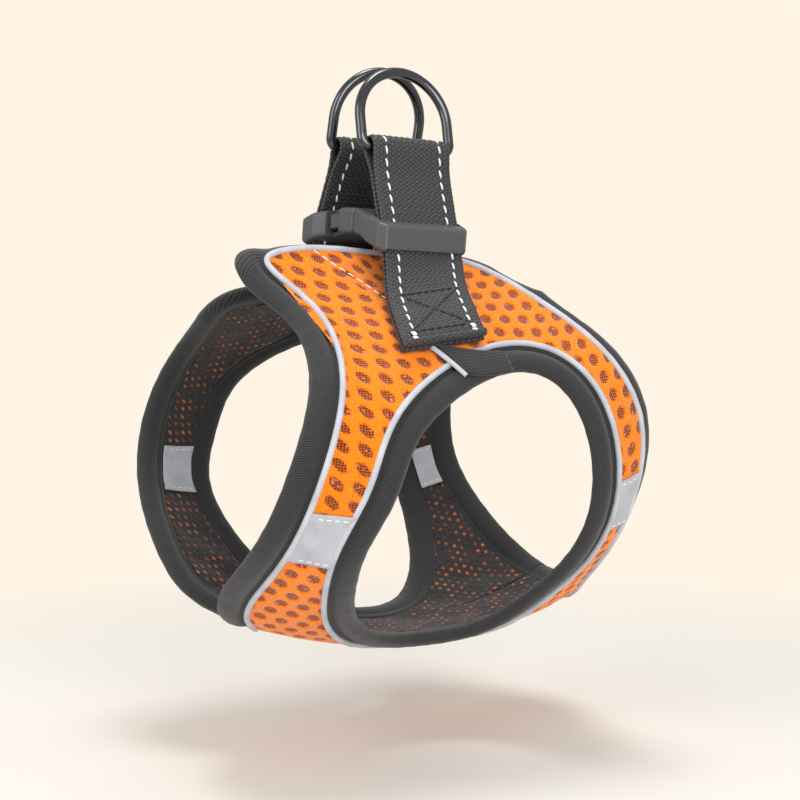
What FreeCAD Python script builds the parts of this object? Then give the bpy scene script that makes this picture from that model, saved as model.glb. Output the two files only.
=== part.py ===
"""A step-in mesh vest harness for a small dog or cat.

Millimetres. +X is the wearer's left, -Y the neck end, +Z up. The vest is one curved skin: v runs
over it from the breastbone line (0) round the flank to the top of the back flap (1), and y runs
from neck to tail. Every fabric piece is a slab laid on that skin between the seam lines.
The two straps, the buckle and the rings share a hitch frame that leans back over the vest.
"""
import FreeCAD, Part
import math
import os

Vector = FreeCAD.Vector

# ------------------------------------------------------------------ driving dimensions
ORIGIN = Vector(0.0, -10.74, -72.89)  # bottom centre of the harness, in the vest's own coordinates
SPAN = 53.5                      # length that makes the vest's curves vary by one unit
HALF_WIDTH = (55.5, 0.7, -7.5)   # half width of the vest: constant, slope and bow along the span
BELLY = (-69.9, -7.0, 10.4)      # height of the breastbone line, the same way
FLAP_TOP = 54.9                  # height of the flaps' top edges
TUCK = 0.075                     # share of the width that the flap is pressed in by its strap
CHEST_HALF = 6.5                 # half width of the chest strip, where the sides fold
FOLD_GAP = 0.15                  # room on each side of that fold

MESH_OUT, MESH_IN, LINING_IN = 2.0, -0.6, -1.4    # layers, measured outward from the skin
BINDING_WIDTH = 8.5
BINDING_HALF = 2.2               # half the thickness of the bound edge
PIPING_HALF = 0.8
PIPING_OUT = 2.7
REAR_CURL, TOP_CURL = 28.0, 48.0  # degrees that the rear binding turns in, and under the buckle
PATCH_GAP, PATCH_THICK = 0.5, 0.3
TAPE_GAP = 0.04                  # between the piping and the binding beside it
PATCH_OUT = MESH_OUT + PATCH_GAP + PATCH_THICK / 2
PATCH_IN = LINING_IN - PATCH_GAP - PATCH_THICK / 2

WEBBING_WIDTH = 25.0
PLY = 1.6
PLY_SPACING = 0.95               # from the middle of a strap to the middle of one ply
RING_WIRE = 1.5                  # radius of the ring's wire
RING_HALF = 14.5                 # half the ring's width, to the middle of the wire
RING_HEIGHT = 23.0
RING_CORNER = 2.8
EYE = RING_WIRE + 0.35 + PLY / 2  # radius of the webbing's fold round the ring

HITCH_AT = Vector(0.0, -1.0, 50.0)
HITCH_LEAN = -12.0               # degrees about X: the straps lean back
BUCKLE_AT = Vector(2.5, -0.5, 7.2)
BUCKLE_HALF = 24.5               # half the buckle's length
BUCKLE_ARCH = 66.0               # radius that the buckle bends to
BUCKLE_THICK = 7.5
END_HALF, MOUTH_HALF = 14.8, 12.3
MOUTH_X = 3.5
WINDOW = (-12.5, -4.5)
SLOT_X, SLOT_LONG, SLOT_WIDE = 20.0, 26.0, 5.0
TUNNEL_HALF, TUNNEL_HIGH = 10.0, 5.2
PRONG_AT = (6.0, 7.9)
PRONG_HIGH = 3.9

# across and up, as shares of the half width and of the height
PROFILE = [(0, 0), (0.3, 0), (0.5, 0.086), (1.2, 0.324), (1.09, 0.745), (0.35, 0.878), (0.18, 1)]
# seam line of the outer edge, (v, y): neck, front corner of the flap, its top, rear
NECK_EDGE = [(0, -57.8), (0.066, -57.5), (0.116, -68.2), (0.404, -66)]
REAR_EDGE = [(0.939, 15.1), (0.897, 21.8), (0.801, 31.6), (0.625, 49), (0.46, 37),
             (0.204, 40.5), (0.07, 44.8), (0, 44.8)]
LEFT_EDGE = NECK_EDGE + [(0.606, -56.1), (0.753, -41.6), (0.885, -34.5), (0.972, -44.5),
                         (1, -43), (0.994, -26), (0.965, -12)] + REAR_EDGE
RIGHT_EDGE = NECK_EDGE + [(0.592, -57), (0.755, -42.6), (0.83, -39.5), (0.875, -39),
                          (0.868, -30), (0.885, -20.5), (0.94, -9)] + REAR_EDGE
# seam line of the leg hole: rear, top, front, bottom
LEG = [(0.399, 32), (0.711, 36.2), (0.812, 9.1), (0.724, -34), (0.595, -42.9),
       (0.486, -53.8), (0.319, -51.3), (0.05, -37), (0.034, 11.5), (0.319, 28.7)]
SEAM_Y = -29.0                   # where the flap's seam meets the top edge
FRONT_PATCH = (0.438, 0.545)     # reflective tape, lower and upper edge, v
LEFT_REAR_PATCH, RIGHT_REAR_PATCH = (0.45, 0.54), (0.39, 0.475)
LEG_TURNS = {"bottom": 0.80, "front": 0.66, "top": 0.23, "rear": -0.08}

# (v, y) of each strap's sewn part, up from its end
LEFT_SEWN = [(0.788, -11.2), (0.805, -10.6), (0.835, -8.6), (0.868, -6.2)]
RIGHT_SEWN = LEFT_SEWN + [(0.9, -3.8)]
STRAP_RISE = 4.7                 # middle of the strap above the skin where it is sewn


# ------------------------------------------------------------------ curves
def spline(points, t):
    """Point at t, 0 to 1, of the clamped uniform cubic spline with these control points."""
    spans = len(points) - 3
    knots = [0.0] * 3 + [i / spans for i in range(spans + 1)] + [1.0] * 3
    t = min(max(t, 0.0), 1.0)
    k = min(int(t * spans), spans - 1) + 3
    near = [list(points[k - 3 + i]) for i in range(4)]
    for level in range(1, 4):
        for j in range(3, level - 1, -1):
            low = knots[k - 3 + j]
            share = (t - low) / (knots[k + 1 + j - level] - low)
            near[j] = [(1 - share) * a + share * b for a, b in zip(near[j - 1], near[j])]
    return near[3]


def loop(points, t):
    """Point at t turns of the closed uniform cubic spline with these control points."""
    count = len(points)
    place = (t % 1.0) * count
    k = int(place)
    f = place - k
    weights = ((1 - f) ** 3, 3 * f ** 3 - 6 * f * f + 4, -3 * f ** 3 + 3 * f * f + 3 * f + 1, f ** 3)
    near = [points[(k - 1 + i) % count] for i in range(4)]
    return [sum(w * p[axis] for w, p in zip(weights, near)) / 6 for axis in (0, 1)]


def steps(start, end, count):
    return [start + (end - start) * i / (count - 1) for i in range(count)]


def ramp(value, start, end):
    share = min(max((value - start) / (end - start), 0.0), 1.0)
    return share * share * (3 - 2 * share)


def search(measure, low, high, target):
    """Value between low and high where the rising measure reaches the target."""
    for _ in range(40):
        middle = (low + high) / 2
        if measure(middle) < target:
            low = middle
        else:
            high = middle
    return (low + high) / 2


# ------------------------------------------------------------------ the vest's skin
def curve_along(terms, y):
    s = y / SPAN
    return terms[0] + terms[1] * s + terms[2] * s * s


def skin(v, y):
    across, rise = spline(PROFILE, v)
    across -= TUCK * ramp(v, 0.83, 0.94) * ramp(y, -24.0, -11.0) * ramp(-y, -26.0, -13.0)
    low = curve_along(BELLY, y)
    return Vector(curve_along(HALF_WIDTH, y) * across, y, low + (FLAP_TOP - low) * rise)


def outward(v, y):
    step = 0.002
    v = min(max(v, step), 1 - step)
    over = skin(v + step, y) - skin(v - step, y)
    along = skin(v, y + 0.1) - skin(v, y - 0.1)
    return along.cross(over).normalize()


def v_at(x, y):
    return search(lambda v: skin(v, y).x, 0.0, 0.3, x)


def left_edge(t):
    return spline(LEFT_EDGE, t)


def right_edge(t):
    return spline(RIGHT_EDGE, t)


def leg(t):
    return loop(LEG, t)


def place_of(path, v, start, end):
    """Place between start and end where the seam line passes v."""
    sign = 1 if path(start)[0] < path(end)[0] else -1
    share = search(lambda f: sign * path(start + (end - start) * f)[0], 0.0, 1.0, sign * v)
    return start + (end - start) * share


class Station:
    """A point of a seam line, with its normal and the direction away from the panel."""

    def __init__(self, path, t):
        self.v, self.y = path(t)
        self.point = skin(self.v, self.y)
        self.normal = outward(self.v, self.y)
        along = skin(*path(t + 0.002)) - skin(*path(t - 0.002))
        self.away = self.normal.cross(along).normalize()

    def at(self, away, rise, curl=0.0):
        """Point this far away from the panel and out from the skin; curl turns it inward."""
        start = min(away, PIPING_HALF)
        turn = math.radians(curl) if away > PIPING_HALF + TAPE_GAP else 0.0
        reach = self.away * math.cos(turn) - self.normal * math.sin(turn)
        rise_way = self.normal * math.cos(turn) + self.away * math.sin(turn)
        return self.point + self.away * start + reach * (away - start) + rise_way * rise


class FoldStation:
    """A point of the fold line beside the chest strip."""

    def __init__(self, y):
        self.v, self.y = v_at(CHEST_HALF + FOLD_GAP, y), y
        self.point = skin(self.v, y)
        self.normal = outward(self.v, y)

    def at(self, away, rise, curl=0.0):
        return self.point + self.normal * rise


EDGE_FRONT = search(lambda t: skin(*left_edge(t)).x, 0.0, 0.1, CHEST_HALF + FOLD_GAP)
EDGE_REAR = search(lambda t: -skin(*left_edge(t)).x, 0.9, 1.0, -CHEST_HALF - FOLD_GAP)


def station_rows(edge):
    """Pairs of leg and outer stations, in four lengths: chest front, front, back, chest rear."""
    turns = LEG_TURNS
    middle = leg(turns["bottom"])[1]
    front = Station(edge, EDGE_FRONT)
    rear = Station(edge, EDGE_REAR)
    seam = search(lambda t: edge(t)[1], 0.4, 0.6, SEAM_Y)
    front_y = front.y + PIPING_HALF
    rear_y = rear.y - PIPING_HALF
    chest_front = [FoldStation(y) for y in steps(middle, front_y, 6)[:-1]] + [front]
    chest_rear = [rear] + [FoldStation(y) for y in steps(rear_y, middle, 6)[1:]]
    front_edge = [Station(edge, t) for t in steps(EDGE_FRONT, seam, 30)]
    back_edge = [Station(edge, t) for t in steps(seam, EDGE_REAR, 28)]
    legs = [steps(turns["bottom"], turns["front"], 6), steps(turns["front"], turns["top"], 30),
            steps(turns["top"], turns["rear"], 28), steps(turns["rear"], turns["bottom"] - 1, 6)]
    outers = [chest_front, front_edge, back_edge, chest_rear]
    return [[(Station(leg, t), o) for t, o in zip(inner, outer)]
            for inner, outer in zip(legs, outers)]


# ------------------------------------------------------------------ solids
def spline_face(poles):
    """Face of the clamped spline surface with this grid of control points."""
    degrees = [min(3, len(poles) - 1), min(3, len(poles[0]) - 1)]
    knots, repeats = [], []
    for count, degree in zip((len(poles), len(poles[0])), degrees):
        spans = count - degree
        knots.append([i / spans for i in range(spans + 1)])
        repeats.append([degree + 1] + [1] * (spans - 1) + [degree + 1])
    surface = Part.BSplineSurface()
    surface.buildFromPolesMultsKnots(poles, repeats[0], repeats[1], knots[0], knots[1],
                                     False, False, degrees[0], degrees[1])
    return surface.toShape()


def slab(lengths, closed=False):
    """Solid between top and bottom grids, given in lengths that share their end rows."""
    faces = []
    for top, bottom in lengths:
        faces += [spline_face(top), spline_face(bottom)]
        for side in (0, -1):
            faces.append(spline_face([[a[side], b[side]] for a, b in zip(top, bottom)]))
    if not closed:
        for top, bottom in ((lengths[0][0][0], lengths[0][1][0]),
                            (lengths[-1][0][-1], lengths[-1][1][-1])):
            faces.append(spline_face([top, bottom]))
    shell = Part.makeCompound(faces)
    shell.sewShape()
    solid = Part.Solid(shell.Shells[0])
    if solid.Volume < 0:
        solid.reverse()
    return solid


def beyond_fold(point):
    return Vector(max(point.x, CHEST_HALF + FOLD_GAP), point.y, point.z)


def panel_row(inner, outer, rise, inset):
    """A row of a panel, from the leg hole's piping to the outer edge's or the fold."""
    starts = [station.at(-PIPING_HALF - inset, rise) for station in (inner, outer)]
    shifts = [start - station.at(0.0, rise) for start, station in zip(starts, (inner, outer))]
    row = [starts[0]]
    for share in (0.25, 0.5, 0.75):
        v = inner.v + (outer.v - inner.v) * share
        y = inner.y + (outer.y - inner.y) * share
        shift = shifts[0] * (1 - share) + shifts[1] * share
        row.append(skin(v, y) + outward(v, y) * rise + shift)
    row.append(starts[1])
    return [beyond_fold(point) for point in row]


def panel(rows, high, low, closed=False, inset=0.0):
    """Panel over these lengths of station pairs, between two heights over the skin."""
    grids = [[[panel_row(i, o, rise, inset) for i, o in length] for rise in (high, low)]
             for length in rows]
    return slab(grids, closed)


def strip(lengths, start, end, high, low, curl=None, closed=False):
    """Strip along a seam line, between two distances from it and two heights."""
    grids = []
    for stations in lengths:
        pair = []
        for rise in (high, low):
            grid = []
            for station in stations:
                turn = curl(station) if curl else 0.0
                grid.append([beyond_fold(station.at(start, rise, turn)),
                             beyond_fold(station.at(end, rise, turn))])
            pair.append(grid)
        grids.append(pair)
    return slab(grids, closed)


def rear_curl(station):
    """The rear binding curls in along the flank, and more where the buckle lies on it."""
    flank = REAR_CURL * ramp(station.v, 0.0, 0.2)
    top = TOP_CURL * ramp(station.v, 0.8, 0.9) * ramp(station.y, SEAM_Y, -12.0)
    return max(top, flank * ramp(-station.v, -0.93, -0.8))


def ribbon(path, half_width, half_thick):
    """Webbing along a list of (centre, width direction, normal)."""
    grids = []
    for sign in (1, -1):
        grids.append([[centre + wide * half_width + normal * half_thick * sign,
                       centre - wide * half_width + normal * half_thick * sign]
                      for centre, wide, normal in path])
    return slab([grids])


# ------------------------------------------------------------------ hitch frame
HITCH = FreeCAD.Placement(HITCH_AT, FreeCAD.Rotation(Vector(1, 0, 0), HITCH_LEAN))


def in_hitch(x, y, z):
    return HITCH.multVec(Vector(x, y, z))


def placed(shape):
    moved = shape.copy()
    moved.Placement = HITCH.multiply(moved.Placement)
    return moved


def strap(side, sewn, slot_x, eye_x, eye_z):
    """Webbing sewn to the flap, up through the buckle, round the ring and back down."""
    wide_hitch = HITCH.Rotation.multVec(Vector(0, 1, 0))
    slot_z = BUCKLE_AT.z - arch_drop(slot_x - BUCKLE_AT.x)
    run = Vector(eye_x - slot_x, 0, eye_z - slot_z)
    centres, wides = [], []
    for v, y in sewn:
        point = skin(v, y) + outward(v, y) * STRAP_RISE
        wide = (skin(v, y + 6) - skin(v, y - 6)).normalize()
        centres.append(Vector(side * point.x, point.y, point.z))
        wides.append(Vector(side * wide.x, wide.y, wide.z))
    for share in (-0.27, -0.1, 0.06, 0.25, 0.45, 0.7):
        centres.append(in_hitch(slot_x + run.x * share, 0, slot_z + run.z * share))
        wides.append(wide_hitch)
    eye = in_hitch(eye_x, 0, eye_z)
    centres += [centres[-1] + (eye - centres[-1]) * 0.4, eye]
    wides += [wide_hitch] * 2
    middle = []
    for t in steps(0.0, 1.0, 20):
        centre = Vector(*spline(centres, t))
        wide = Vector(*spline(wides, t)).normalize()
        along = Vector(*spline(centres, t + 0.01)) - Vector(*spline(centres, t - 0.01))
        normal = wide.cross(along).normalize() * side
        middle.append((centre, wide, normal, along.normalize()))
    outer, inner = [], []
    for centre, wide, normal, along in middle[:-1]:
        below = max(0.0, (eye - centre).dot(middle[-1][3]))
        spread = PLY_SPACING + (EYE - PLY_SPACING) * math.exp(-(below / 5.0) ** 2)
        outer.append((centre + normal * spread, wide, normal))
        inner.append((centre - normal * spread, wide, normal * -1))
    centre, wide, normal, along = middle[-1]
    fold = []
    for angle in steps(0.0, math.pi, 9):
        spoke = normal * math.cos(angle) + along * math.sin(angle)
        fold.append((centre + spoke * EYE, wide, spoke))
    return ribbon(outer + fold + inner[::-1], WEBBING_WIDTH / 2, PLY / 2)


def ring(eye_x, eye_z, lean):
    """A rounded D ring: bar in the strap's fold, legs and arc above it. lean is toward +X."""
    half, corner = RING_HALF, RING_CORNER
    leg_top = RING_HEIGHT - half
    bend = corner * (1 - math.sqrt(0.5))
    corners = [(Vector(0, side * half, corner), Vector(0, side * (half - bend), bend),
                Vector(0, side * (half - corner), 0)) for side in (1, -1)]
    edges = [
        Part.LineSegment(corners[1][2], corners[0][2]).toShape(),
        Part.Arc(corners[0][2], corners[0][1], corners[0][0]).toShape(),
        Part.LineSegment(corners[0][0], Vector(0, half, leg_top)).toShape(),
        Part.Arc(Vector(0, half, leg_top), Vector(0, 0, RING_HEIGHT),
                 Vector(0, -half, leg_top)).toShape(),
        Part.LineSegment(Vector(0, -half, leg_top), corners[1][0]).toShape(),
        Part.Arc(corners[1][0], corners[1][1], corners[1][2]).toShape(),
    ]
    profile = Part.Wire(Part.makeCircle(RING_WIRE, corners[1][2], Vector(0, 1, 0)))
    body = Part.Wire(edges).makePipeShell([profile], True, False)
    body.rotate(Vector(0, 0, 0), Vector(0, 1, 0), lean)
    body.translate(Vector(eye_x, 0, eye_z))
    return placed(body)


# ------------------------------------------------------------------ buckle
def arch_drop(x):
    return BUCKLE_ARCH - math.sqrt(BUCKLE_ARCH ** 2 - x * x)


def arched(x_low, x_high, y_low, y_high, thick):
    """Block bent to the buckle's arch, in the buckle's own frame."""
    length = y_high - y_low
    start = Vector(0, y_low, -BUCKLE_ARCH)
    rings = [Part.makeCylinder(BUCKLE_ARCH + sign * thick / 2, length, start, Vector(0, 1, 0))
             for sign in (1, -1)]
    box = Part.makeBox(x_high - x_low, length, 30, Vector(x_low, y_low, -20))
    return rings[0].cut(rings[1]).common(box)


def outline(points, low=-20.0, high=12.0):
    corners = [Vector(x, y, low) for x, y in points]
    face = Part.Face(Part.makePolygon(corners + corners[:1]))
    return face.extrude(Vector(0, 0, high - low))


def buckle_shell(x_low, x_high, points):
    """Arched plate with this outline and rounded edges."""
    plate = arched(x_low, x_high, -END_HALF, END_HALF, BUCKLE_THICK).common(outline(points))
    return plate.makeFillet(1.3, plate.Edges)


def slot_cut(x, lean):
    """Slot for the strap, along the strap's own lean."""
    box = Part.makeBox(SLOT_WIDE, SLOT_LONG, 40, Vector(-SLOT_WIDE / 2, -SLOT_LONG / 2, -20))
    box.rotate(Vector(0, 0, 0), Vector(0, 1, 0), lean)
    box.translate(Vector(x, -BUCKLE_AT.y, -arch_drop(x)))
    return box


def strap_lean(slot_x, eye_x, eye_z):
    rise = eye_z - BUCKLE_AT.z + arch_drop(slot_x)
    return math.degrees(math.atan2(eye_x - BUCKLE_AT.x - slot_x, rise))


def female_half(lean):
    low, high = -BUCKLE_HALF, MOUTH_X
    wide, narrow = END_HALF, MOUTH_HALF
    points = [(low, -wide + 2), (low + 2, -wide), (low + 8, -wide), (WINDOW[0], -narrow),
              (high, -narrow), (high, narrow), (WINDOW[0], narrow), (low + 8, wide),
              (low + 2, wide), (low, wide - 2)]
    body = buckle_shell(low, high, points)
    tunnel_end = WINDOW[0] - 1.5
    tunnel = arched(tunnel_end, high + 1, -TUNNEL_HALF, TUNNEL_HALF, TUNNEL_HIGH)
    body = body.cut(tunnel).cut(slot_cut(-SLOT_X, lean))
    for side in (1, -1):
        window = Part.makeBox(WINDOW[1] - WINDOW[0], 5, 30, Vector(WINDOW[0], 0, -20))
        window.translate(Vector(0, 9.3 if side > 0 else -14.3, 0))
        body = body.cut(window)
    return body


def male_half(lean):
    low, high = MOUTH_X + 0.2, BUCKLE_HALF
    wide, narrow = END_HALF, MOUTH_HALF
    points = [(low, -narrow), (low + 3, -narrow), (high - 9, -wide), (high - 2, -wide),
              (high, -wide + 2), (high, wide - 2), (high - 2, wide), (high - 9, wide),
              (low + 3, narrow), (low, narrow)]
    body = buckle_shell(low, high, points)
    body = body.cut(slot_cut(SLOT_X, lean))
    for side in (1, -1):
        y = side * PRONG_AT[1]
        body = body.cut(arched(low - 1, 8.6, y - 2.15, y + 2.15, TUNNEL_HIGH))
    guide = arched(WINDOW[0] - 0.4, low + 2, -1.4, 1.4, 4.4)
    return body.fuse(guide).removeSplitter()


def prong(side):
    """Springy arm with a catch head that stands in the window of the female half."""
    root, tip = 8.1, WINDOW[0] + 0.1
    inner, outer, head = PRONG_AT[1] - 1.3, PRONG_AT[1] + 1.3, MOUTH_HALF - 0.2
    catch = WINDOW[1] - 0.4
    points = [(root, inner), (root, outer), (catch, outer), (catch, head - 0.6), (catch - 0.6, head),
              (tip + 2.6, head), (tip + 0.6, head - 1.6), (tip, outer), (tip, inner + 0.5),
              (tip + 0.5, inner)]
    points = [(x, side * y) for x, y in points]
    if side < 0:
        points.reverse()
    arm = arched(tip, root, -END_HALF, END_HALF, PRONG_HIGH).common(outline(points))
    return arm


# ------------------------------------------------------------------ assembly
def in_buckle(shape):
    moved = shape.copy()
    moved.translate(BUCKLE_AT)
    return placed(moved)


def mirrored(shape):
    return shape.mirror(Vector(0, 0, 0), Vector(1, 0, 0))


def chest_rows(path_start, path_end, columns):
    """Stations of the chest strip's two edges at these distances from the middle."""
    found = []
    for x in columns:
        rising = path_start < path_end
        sign = 1 if rising else -1
        bounds = (path_start, path_end) if rising else (path_end, path_start)
        t = search(lambda t: sign * skin(*left_edge(t)).x, *bounds, sign * abs(x))
        found.append((x, Station(left_edge, t)))
    return found


def chest_point(x, station, away, rise):
    point = station.at(away, rise)
    return Vector(math.copysign(min(abs(point.x), CHEST_HALF - FOLD_GAP), x), point.y, point.z)


def chest_strip(rows, start, end, high, low):
    grids = [[[chest_point(x, station, away, rise) for away in (start, end)]
              for x, station in rows] for rise in (high, low)]
    return slab([grids])


def chest_panel(front, rear, high, low):
    grids = []
    for rise in (high, low):
        grid = []
        for share in steps(0.0, 1.0, 14):
            row = []
            for (x, first), (_, last) in zip(front, rear):
                y_front = first.y + PIPING_HALF
                y = y_front + (last.y - PIPING_HALF - y_front) * share
                v = v_at(abs(x), y)
                way = outward(v, y)
                point = skin(v, y) + way * rise
                limit = CHEST_HALF - FOLD_GAP
                row.append(Vector(math.copysign(min(point.x, limit), x), point.y, point.z))
            grid.append(row)
        grids.append(grid)
    return slab([grids])


def patch(edge, heights, front, rise):
    """Reflective tape across the panel, from the leg's seam to the outer one."""
    turns, shares = ((0.62, 0.3), (0.1, 0.35)) if front else ((-0.05, 0.12), (0.97, 0.68))
    rows = [(Station(leg, place_of(leg, v, *turns)), Station(edge, place_of(edge, v, *shares)))
            for v in steps(*heights, 5)]
    if not front:
        rows.reverse()
    return panel([rows], rise + PATCH_THICK / 2, rise - PATCH_THICK / 2, inset=PATCH_GAP)


def leg_tail():
    """Loose end of the leg binding, lapped over the joint at the top of the hole."""
    corners = [(0.762, 5.0), (0.77, -1.0), (0.777, -7.5), (0.78, -13.5)]
    far = [(0.735, 4.5), (0.735, -1.0), (0.738, -6.0), (0.745, -9.8)]
    grids = []
    for rise in (BINDING_HALF + 1.8, BINDING_HALF + 0.9):
        grids.append([[skin(v, y) + outward(v, y) * rise for v, y in pair]
                      for pair in zip(corners, far)])
    return slab([grids])


def vest_side(edge, rear_patch):
    """The pieces of one side of the vest, built on the wearer's left."""
    rows = station_rows(edge)
    chest_front, front, back, chest_rear = rows
    legs = [[inner for inner, _ in length] for length in rows]
    neck_edge = [outer for _, outer in front]
    rear_edge = [outer for _, outer in back]
    width = BINDING_WIDTH
    half = BINDING_HALF
    near = PIPING_HALF + TAPE_GAP
    return {
        "front_mesh_panel": panel([chest_front, front], MESH_OUT, MESH_IN),
        "back_mesh_panel": panel([back, chest_rear], MESH_OUT, MESH_IN),
        "lining": panel(rows, MESH_IN, LINING_IN, closed=True),
        "neck_piping": strip([neck_edge], -PIPING_HALF, PIPING_HALF, PIPING_OUT, -half),
        "neck_binding": strip([neck_edge], near, width, half, -half),
        "rear_piping": strip([rear_edge], -PIPING_HALF, PIPING_HALF, PIPING_OUT, -half),
        "rear_binding": strip([rear_edge], near, width, half, -half, rear_curl),
        "leg_piping": strip(legs, -PIPING_HALF, PIPING_HALF, PIPING_OUT, -half, closed=True),
        "leg_binding": strip(legs, near, width, half, -half, closed=True),
        "leg_binding_tail": leg_tail(),
        "front_outer_patch": patch(edge, FRONT_PATCH, True, PATCH_OUT),
        "front_inner_patch": patch(edge, FRONT_PATCH, True, PATCH_IN),
        "rear_outer_patch": patch(edge, rear_patch, False, PATCH_OUT),
        "rear_inner_patch": patch(edge, rear_patch, False, PATCH_IN),
    }


LEFT_SLOT, RIGHT_SLOT = BUCKLE_AT.x + SLOT_X, BUCKLE_AT.x - SLOT_X
LEFT_EYE, RIGHT_EYE = (12.3, 28.3), (-7.0, 28.0)
LEFT_RING_LEAN, RIGHT_RING_LEAN = -17.5, 8.0


def harness():
    pieces = {}
    for name, shape in vest_side(left_edge, LEFT_REAR_PATCH).items():
        pieces["left_" + name] = shape
    for name, shape in vest_side(right_edge, RIGHT_REAR_PATCH).items():
        pieces["right_" + name] = mirrored(shape)
    columns = [-CHEST_HALF + FOLD_GAP, -2.5, 2.5, CHEST_HALF - FOLD_GAP]
    neck = chest_rows(0.0, 0.1, columns)
    rear = chest_rows(1.0, 0.9, columns)
    half = BINDING_HALF
    pieces["chest_mesh_panel"] = chest_panel(neck, rear, MESH_OUT, MESH_IN)
    pieces["chest_lining"] = chest_panel(neck, rear, MESH_IN, LINING_IN)
    for name, rows in (("neck", neck), ("rear", rear)):
        pieces["chest_%s_piping" % name] = chest_strip(rows, -PIPING_HALF, PIPING_HALF,
                                                       PIPING_OUT, -half)
        pieces["chest_%s_binding" % name] = chest_strip(rows, PIPING_HALF, BINDING_WIDTH,
                                                        half, -half)
    pieces["left_strap"] = strap(1, LEFT_SEWN, LEFT_SLOT, *LEFT_EYE)
    pieces["right_strap"] = strap(-1, RIGHT_SEWN, RIGHT_SLOT, *RIGHT_EYE)
    pieces["left_d_ring"] = ring(*LEFT_EYE, LEFT_RING_LEAN)
    pieces["right_d_ring"] = ring(*RIGHT_EYE, RIGHT_RING_LEAN)
    pieces["buckle_male_body"] = in_buckle(male_half(strap_lean(SLOT_X, *LEFT_EYE)))
    pieces["buckle_female_body"] = in_buckle(female_half(strap_lean(-SLOT_X, *RIGHT_EYE)))
    pieces["buckle_front_prong"] = in_buckle(prong(-1))
    pieces["buckle_rear_prong"] = in_buckle(prong(1))
    return pieces


os.makedirs("parts", exist_ok=True)
for node, shape in harness().items():
    shape.translate(ORIGIN * -1)
    shape.exportStep("parts/%s.step" % node)
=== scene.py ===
"""Looks for the step-in mesh harness: fabrics, webbing, stitching, hardware, floor and light.

Lengths are millimetres in the vest's own coordinates until a mesh is made.
"""
import math

import bmesh
import bpy
import numpy as np
from mathutils import Matrix, Vector


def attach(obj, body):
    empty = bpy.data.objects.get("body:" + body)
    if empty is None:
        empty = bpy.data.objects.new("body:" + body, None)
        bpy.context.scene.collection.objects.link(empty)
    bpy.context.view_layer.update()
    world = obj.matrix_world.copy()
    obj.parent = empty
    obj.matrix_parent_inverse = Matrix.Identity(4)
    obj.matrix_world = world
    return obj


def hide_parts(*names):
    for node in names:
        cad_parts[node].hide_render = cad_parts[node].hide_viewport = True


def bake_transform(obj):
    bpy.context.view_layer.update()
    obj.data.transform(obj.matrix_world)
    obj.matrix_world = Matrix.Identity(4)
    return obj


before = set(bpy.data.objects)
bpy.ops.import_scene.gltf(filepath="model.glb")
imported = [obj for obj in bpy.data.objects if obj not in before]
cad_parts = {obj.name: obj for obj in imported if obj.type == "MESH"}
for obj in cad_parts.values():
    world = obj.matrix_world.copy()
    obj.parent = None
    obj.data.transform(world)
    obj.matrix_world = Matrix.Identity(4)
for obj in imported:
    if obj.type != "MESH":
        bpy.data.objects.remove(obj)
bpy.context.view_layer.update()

# ------------------------------------------------------------------ the vest's dimensions
ORIGIN = np.array([0.0, -10.74, -72.89])
SPAN = 53.5
HALF_WIDTH = (55.5, 0.7, -7.5)
BELLY = (-69.9, -7.0, 10.4)
FLAP_TOP = 54.9
TUCK = 0.075
CHEST_HALF = 6.5
MESH_OUT, MESH_IN, LINING_IN = 2.0, -0.6, -1.4
PIPING_HALF = 0.8
REAR_CURL, TOP_CURL = 28.0, 48.0
BACK_CURL = 76.0
MM = 0.001
WANDER_PITCH = 9.0               # length over which a bound edge wanders
PROFILE = [(0, 0), (0.3, 0), (0.5, 0.086), (1.2, 0.324), (1.09, 0.745), (0.35, 0.878),
           (0.18, 1)]
NECK_EDGE = [(0, -57.8), (0.066, -57.5), (0.116, -68.2), (0.404, -66)]
REAR_EDGE = [(0.939, 15.1), (0.897, 21.8), (0.801, 31.6), (0.625, 49), (0.46, 37),
             (0.204, 40.5), (0.07, 44.8), (0, 44.8)]
LEFT_EDGE = NECK_EDGE + [(0.606, -56.1), (0.753, -41.6), (0.885, -34.5), (0.972, -44.5),
                         (1, -43), (0.994, -26), (0.965, -12)] + REAR_EDGE
RIGHT_EDGE = NECK_EDGE + [(0.592, -57), (0.755, -42.6), (0.83, -39.5), (0.875, -39),
                          (0.868, -30), (0.885, -20.5), (0.94, -9)] + REAR_EDGE
LEG = [(0.399, 32), (0.711, 36.2), (0.812, 9.1), (0.724, -34), (0.595, -42.9),
       (0.486, -53.8), (0.319, -51.3), (0.05, -37), (0.034, 11.5), (0.319, 28.7)]
SEAM_Y = -29.0
LEG_TURNS = {"bottom": 0.80, "front": 0.66, "top": 0.23, "rear": -0.08}
FRONT_PATCH = (0.438, 0.545)
LEFT_REAR_PATCH, RIGHT_REAR_PATCH = (0.45, 0.54), (0.39, 0.475)
LEFT_SEWN = [(0.788, -11.2), (0.805, -10.6), (0.835, -8.6), (0.868, -6.2)]
RIGHT_SEWN = LEFT_SEWN + [(0.9, -3.8)]
STRAP_RISE = 4.7
WEBBING_WIDTH, PLY, PLY_SPACING = 25.0, 1.6, 0.95
RING_WIRE, RING_HALF, RING_HEIGHT, RING_CORNER = 1.5, 14.5, 23.0, 2.8
EYE = RING_WIRE + 0.35 + PLY / 2
BUCKLE_AT = np.array([2.5, -0.5, 7.2])
BUCKLE_ARCH, SLOT_X = 66.0, 20.0
LEFT_EYE, RIGHT_EYE = (12.3, 28.3), (-7.0, 28.0)
LEFT_RING_LEAN, RIGHT_RING_LEAN = -17.5, 8.0
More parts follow.
